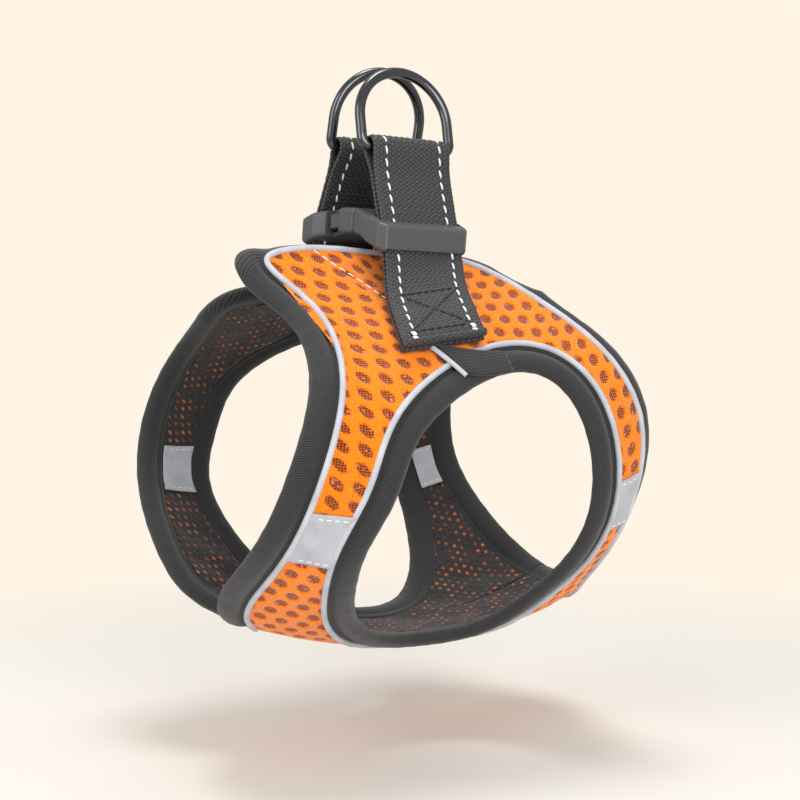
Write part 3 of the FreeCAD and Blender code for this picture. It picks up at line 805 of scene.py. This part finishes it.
def strap_path(side, sewn, slot_x, eye):
    """Centre, width direction and outer normal along the doubled webbing, round the ring."""
    slot = np.array([slot_x, 0.0, BUCKLE_AT[2] - arch_drop(slot_x - BUCKLE_AT[0])])
    top = np.array([eye[0], 0.0, eye[1]])
    wide_hitch = in_hitch([0, 1, 0]) - in_hitch([0, 0, 0])
    flip = np.array([side, 1, 1])
    centres = [lay(v, y, STRAP_RISE) * flip for v, y in sewn]
    wides = [unit(skin(v, y + 6) - skin(v, y - 6)) * flip for v, y in sewn]
    for share in (-0.27, -0.1, 0.06, 0.25, 0.45, 0.7):
        centres.append(in_hitch(slot + (top - slot) * share))
        wides.append(wide_hitch)
    eye_at = in_hitch(top)
    centres += [centres[-1] + (eye_at - centres[-1]) * 0.4, eye_at]
    wides += [wide_hitch] * 2
    t = np.linspace(0, 1, 190)
    centre, wide = spline(centres, t), unit(spline(wides, t))
    along = unit(spline(centres, t + 0.01) - spline(centres, t - 0.01))
    normal = unit(np.cross(wide, along)) * side
    below = np.maximum(0.0, (eye_at - centre) @ along[-1])
    spread = PLY_SPACING + (EYE - PLY_SPACING) * np.exp(-(below / 5.0) ** 2)
    angle = np.linspace(0, math.pi, 26)[:, None]
    spokes = normal[-1] * np.cos(angle) + along[-1] * np.sin(angle)
    fold = centre[-1] + spokes * EYE
    points = np.concatenate([(centre + normal * spread[:, None])[:-1], fold,
                             (centre - normal * spread[:, None])[:-1][::-1]])
    wides = np.concatenate([wide[:-1], np.repeat(wide[-1:], 26, 0), wide[:-1][::-1]])
    normals = np.concatenate([normal[:-1], spokes, -normal[:-1][::-1]])
    return points, wides, normals


def resample(points, others, step):
    lengths = np.concatenate([[0.0], np.cumsum(np.linalg.norm(np.diff(points, axis=0), axis=1))])
    places = np.arange(0, lengths[-1], step)
    found = [np.stack([np.interp(places, lengths, a[:, k]) for k in range(3)], -1)
             for a in [points] + others]
    return [places, found[0]] + [unit(a) for a in found[1:]]


RIB, WARP = 1.25, 0.95


def strap(side, sewn, slot_x, eye):
    """Ribbed webbing along the strap's path, with its pale stitch lines and sewn end."""
    name = "left" if side > 0 else "right"
    length, centre, wide, normal = resample(*(lambda p, w, n: (p, [w, n]))(
        *strap_path(side, sewn, slot_x, eye)), 0.3)
    w = np.linspace(-1, 1, 84)
    half = WEBBING_WIDTH / 2
    rows, columns = length[:, None], (w * half)[None, :]
    rib = np.abs(np.sin(math.pi * rows / RIB))
    bump = rib * (0.62 + 0.38 * np.cos(2 * math.pi * columns / (2 * WARP)
                                       + math.pi * np.floor(rows / RIB)))
    thick = PLY / 2 * (1 - 0.45 * np.abs(w) ** 14)[None, :]
    reach = columns * (1 + 0.008 * np.sin(2 * math.pi * rows / (2 * RIB)) * (np.abs(w) > 0.93))
    faces = []
    for out in (1, -1):
        rise = out * (thick - 0.22 + 0.3 * bump)
        faces.append(centre[:, None] + wide[:, None] * reach[..., None]
                     + normal[:, None] * rise[..., None])
    ring = np.concatenate([faces[0], faces[1][:, ::-1]], 1)
    lengths = np.stack(np.broadcast_arrays(columns, rows), -1)
    lengths = np.concatenate([lengths, lengths[:, ::-1]], 1)
    build = Build()
    build.tube(ring, lengths)
    piece = build.done(name + "_webbing", MATERIAL["charcoal_webbing"])
    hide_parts(name + "_strap")
    body = name + "_side"
    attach(piece, body)
    pale = Build()
    for offset in (-1, 1):
        line = centre + wide * offset * (half - 3.7) + normal * (PLY / 2 + 0.02)
        keep = np.arange(15, len(line) - 12)
        stitch(pale, line[keep], normal[keep], 2.3, 1.25, 0.66, 0.26, slant=0.2)
    piece = pale.done(name + "_strap_stitches", MATERIAL["pale_thread"])
    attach(piece, body)
    sewn_box(name, body, length, centre, wide, normal)


BOX_INSET, BOX_LOW, BOX_HIGH, HEM_LINE = 3.2, 4.2, 19.0, 2.0


def sewn_box(name, body, length, centre, wide, normal):
    """Dark box and cross stitching, the hem's ridge and two pale bartacks at a strap's end."""
    def at(along, across, rise=PLY / 2 + 0.1):
        line = [np.array([np.interp(along, length, a[:, k]) for k in range(3)]).T
                for a in (centre, wide, normal)]
        return (line[0] + line[1] * np.asarray(across)[..., None] + line[2] * rise, line[2])

    dark = Build()
    side = WEBBING_WIDTH / 2 - BOX_INSET
    share = np.linspace(0, 1, 40)
    for start, end in (((BOX_LOW, -side), (BOX_LOW, side)), ((BOX_HIGH, -side), (BOX_HIGH, side)),
                       ((BOX_LOW, -side), (BOX_HIGH, side)), ((BOX_LOW, side), (BOX_HIGH, -side)),
                       ((HEM_LINE, -side - 2.4), (HEM_LINE, side + 2.4))):
        line = at(start[0] + (end[0] - start[0]) * share, start[1] + (end[1] - start[1]) * share)
        stitch(dark, *line, 1.9, 0.5, 0.55, 0.16)
    piece = dark.done(name + "_strap_box_stitches", MATERIAL["dark_thread"])
    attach(piece, body)
    hem = Build()
    edge_line, up = at(np.full(40, 0.75), np.linspace(-1, 1, 40) * (WEBBING_WIDTH / 2 - 0.1), 0.35)
    forward = unit(at(np.full(40, 3.0), np.zeros(40))[0] - at(np.full(40, 1.0), np.zeros(40))[0])
    turn = np.linspace(0, 2 * math.pi, 16, endpoint=False)
    hem.tube(edge_line[:, None] + 1.15 * (np.cos(turn)[None, :, None] * forward[:, None]
                                          + np.sin(turn)[None, :, None] * up[:, None]),
             np.stack(np.broadcast_arrays(np.linspace(0, 25, 40)[:, None], turn[None, :]), -1))
    piece = hem.done(name + "_strap_hem", MATERIAL["charcoal_webbing"])
    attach(piece, body)
    tacks = Build()
    for across in (-side + 0.2, side - 0.2):
        for shift in (-0.5, 0.0, 0.5):
            line = at(np.linspace(0.3, 4.4, 8), np.full(8, across + shift * 0.8), PLY / 2 + 0.45)
            stitch(tacks, *line, 1.5, 0.25, 0.5, 0.3, slant=0.25)
    piece = tacks.done(name + "_strap_bartacks", MATERIAL["pale_thread"])
    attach(piece, body)


# ------------------------------------------------------------------ rings
def ring_path(eye, lean):
    half, corner, height = RING_HALF, RING_CORNER, RING_HEIGHT
    quarter = np.linspace(0, math.pi / 2, 9)
    low = [(y, 0.0) for y in np.linspace(-half + corner, half - corner, 12)[:-1]]
    turn = [(half - corner + corner * math.sin(a), corner - corner * math.cos(a)) for a in quarter]
    rise = [(half, z) for z in np.linspace(corner, height - half, 6)[1:-1]]
    arc = [(half * math.cos(a), height - half + half * math.sin(a))
           for a in np.linspace(0, math.pi, 40)]
    fall = [(-y, z) for y, z in (turn + rise)[::-1]]
    flat = np.array(low + turn + rise + arc + fall[:-1])
    c, s = math.cos(math.radians(lean)), math.sin(math.radians(lean))
    points = np.stack([eye[0] + flat[:, 1] * s, flat[:, 0], eye[1] + flat[:, 1] * c], -1)
    return in_hitch(points), in_hitch([c, 0, -s]) - in_hitch([0, 0, 0])


def ring(side, eye, lean):
    name = "left" if side > 0 else "right"
    points, across = ring_path(eye, lean)
    along = unit(np.roll(points, -1, 0) - np.roll(points, 1, 0))
    other = unit(np.cross(along, across))
    angle = np.linspace(0, 2 * math.pi, 24, endpoint=False)
    sections = (points[:, None] + RING_WIRE * (np.cos(angle)[None, :, None] * across
                + np.sin(angle)[None, :, None] * other[:, None]))
    build = Build()
    build.tube(sections, wrap_rows=True)
    piece = build.done(name + "_ring_wire", MATERIAL["gunmetal"])
    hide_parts(name + "_d_ring")
    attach(piece, name + "_ring")


# ------------------------------------------------------------------ small trim
def surface_line(points, rise, count):
    """Points and normals along a spline of (v, y), this high over the skin."""
    at = spline(points, np.linspace(0, 1, count))
    return lay(at[:, 0], at[:, 1], np.full(count, rise)), outward(at[:, 0], at[:, 1])


def tail(side):
    """Loose end of the leg binding with its piped edge."""
    name = "left" if side > 0 else "right"
    top = np.array([(0.765, 5.0), (0.772, -1.0), (0.781, -7.5), (0.79, -13.8)])
    low = np.array([(0.735, 4.5), (0.735, -1.0), (0.738, -6.0), (0.742, -9.4)])
    t = np.linspace(0, 1, 40)
    v, y = across_panel(spline(top, t), spline(low, t), 22)
    lift = 2.7 + 0.5 * ramp(-y, 3.0, 9.0)
    round_edge = 0.35 * np.abs(np.linspace(-1, 1, 22)[None, :]) ** 4
    build = Build()
    build.slab(lay(v, y, lift + 1.0 - round_edge), lay(v, y, lift - 0.6 + round_edge),
               np.stack([v * 160, y], -1))
    piece = build.done(name + "_binding_tail", MATERIAL["charcoal_binding"],
                       side < 0)
    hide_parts(name + "_leg_binding_tail")
    follow(piece)
    points, normals = surface_line([(0.792, -14.9), (0.778, -13.4), (0.76, -11.6), (0.741, -9.6)],
                                   3.2, 30)
    along = unit(np.gradient(points, axis=0))
    other = np.cross(normals, along)
    angle = np.linspace(0, 2 * math.pi, 12, endpoint=False)
    sections = points[:, None] + 0.7 * (np.cos(angle)[None, :, None] * other[:, None]
                                         + np.sin(angle)[None, :, None] * normals[:, None])
    build = Build()
    build.tube(sections)
    piece = build.done(name + "_tail_piping", MATERIAL["grey_piping"], side < 0)
    follow(piece)


def flap_seam(side):
    """Pale stitches along the seam between the front and back panels."""
    name = "left" if side > 0 else "right"
    build = Build()
    points, normals = surface_line([(0.99, -29.0) if side > 0 else (0.862, -29.0), (0.945, -23.0),
                                    (0.9, -17.5), (0.85, -13.0), (0.785, -6.5)], MESH_OUT + 0.1, 90)
    stitch(build, points, normals, 2.1, 0.8, 0.4, 0.12)
    piece = build.done(name + "_flap_seam_stitches", MATERIAL["pale_thread"],
                       side < 0)
    follow(piece)


# ------------------------------------------------------------------ everything
chest()
chest_edges()
for hand in (1, -1):
    fabric(hand)
    edges(hand)
    patches(hand)
    tail(hand)
    flap_seam(hand)
strap(1, LEFT_SEWN, BUCKLE_AT[0] + SLOT_X, LEFT_EYE)
strap(-1, RIGHT_SEWN, BUCKLE_AT[0] - SLOT_X, RIGHT_EYE)
ring(1, LEFT_EYE, LEFT_RING_LEAN)
ring(-1, RIGHT_EYE, RIGHT_RING_LEAN)
for node in ("buckle_male_body", "buckle_female_body", "buckle_front_prong", "buckle_rear_prong"):
    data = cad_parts[node].data
    data.materials.clear()
    data.materials.append(MATERIAL["buckle_plastic"])


# ------------------------------------------------------------------ camera, floor and light
AZIMUTH, ELEVATION, ROLL = (math.radians(a) for a in (60.398, 12.656, -6.488))
DISTANCE, ASIDE, ABOVE = 449.3, 0.311, 3.142

back = np.array([math.sin(AZIMUTH) * math.cos(ELEVATION),
                 -math.cos(AZIMUTH) * math.cos(ELEVATION), math.sin(ELEVATION)])
right = np.array([math.cos(AZIMUTH), math.sin(AZIMUTH), 0.0])
up = np.array([-math.sin(AZIMUTH) * math.sin(ELEVATION),
               math.cos(AZIMUTH) * math.sin(ELEVATION), math.cos(ELEVATION)])
target = right * ASIDE + up * ABOVE
level = right * math.cos(ROLL) + up * math.sin(ROLL)
upright = up * math.cos(ROLL) - right * math.sin(ROLL)


def pose(axes, place):
    turned = Matrix([list(a) for a in axes]).transposed().to_4x4()
    turned.translation = Vector(to_row(place))
    return turned


camera = bpy.data.objects.new("camera", bpy.data.cameras.new("camera"))
camera.data.lens = 66.8
camera.data.sensor_width = 36.0
camera.data.clip_end = 20.0
camera.matrix_world = pose((level, upright, back), target + back * DISTANCE)
bpy.context.scene.collection.objects.link(camera)
bpy.context.scene.camera = camera


def light(name, place, size, power, colour=(1.0, 1.0, 1.0)):
    """Soft area light at (right, up, towards the camera) from the harness, facing it."""
    lamp = bpy.data.lights.new(name, "AREA")
    lamp.shape, lamp.size, lamp.size_y = "RECTANGLE", size[0], size[1]
    lamp.energy, lamp.color = power, colour
    item = bpy.data.objects.new(name, lamp)
    at = level * place[0] + upright * place[1] + back * place[2]
    facing = unit(at)
    aside = unit(np.cross(upright + back * 0.01, facing))
    item.matrix_world = pose((aside, np.cross(facing, aside), facing), target + at * 1000)
    bpy.context.scene.collection.objects.link(item)


light("top_soft_light", (0.02, 0.95, 0.02), (0.4, 0.4), 4.0)
light("left_soft_light", (-0.8, 0.3, 0.55), (0.6, 0.8), 4.0)
light("front_soft_light", (0.35, 0.2, 0.95), (0.7, 0.7), 6.8)

world = bpy.data.worlds.new("pale_room")
world.use_nodes = True
bpy.context.scene.view_settings.view_transform = "Standard"
bpy.context.scene.world = world
tree = world.node_tree
tree.nodes.clear()
seen = tree.nodes.new("ShaderNodeBackground")
seen.inputs[0].default_value = (1.0, 0.905, 0.78, 1.0)
lit = tree.nodes.new("ShaderNodeBackground")
lit.inputs[0].default_value = (1.0, 0.98, 0.95, 1.0)
lit.inputs[1].default_value = 0.6
path = tree.nodes.new("ShaderNodeLightPath")
choose = tree.nodes.new("ShaderNodeMixShader")
output = tree.nodes.new("ShaderNodeOutputWorld")
tree.links.new(path.outputs["Is Camera Ray"], choose.inputs[0])
tree.links.new(lit.outputs[0], choose.inputs[1])
tree.links.new(seen.outputs[0], choose.inputs[2])
tree.links.new(choose.outputs[0], output.inputs[0])


def floor():
    tilt = math.radians(2.6)
    normal = upright * math.cos(tilt) + back * math.sin(tilt)
    forward = back * math.cos(tilt) - upright * math.sin(tilt)
    mesh = bpy.data.meshes.new("pale_floor")
    size = 0.9
    mesh.from_pydata([(-size, -size, 0), (size, -size, 0), (size, size, 0), (-size, size, 0)], [],
                     [(0, 1, 2, 3)])
    item = bpy.data.objects.new("pale_floor", mesh)
    item.matrix_world = pose((level, -forward, normal), target - upright * 102)
    s = Shader("pale_floor")
    place = s.add("ShaderNodeTexCoord", 3)
    far = s.add("ShaderNodeVectorMath", 1, {"operation": "LENGTH"}, i0=place)
    cover = s.step(far, 0.34, 0.16)
    s.finish(Base_Color=(0.82, 0.79, 0.735), Roughness=1.0, Specular_IOR_Level=0.0, Alpha=cover)
    mesh.materials.append(s.material)
    bpy.context.scene.collection.objects.link(item)


floor()
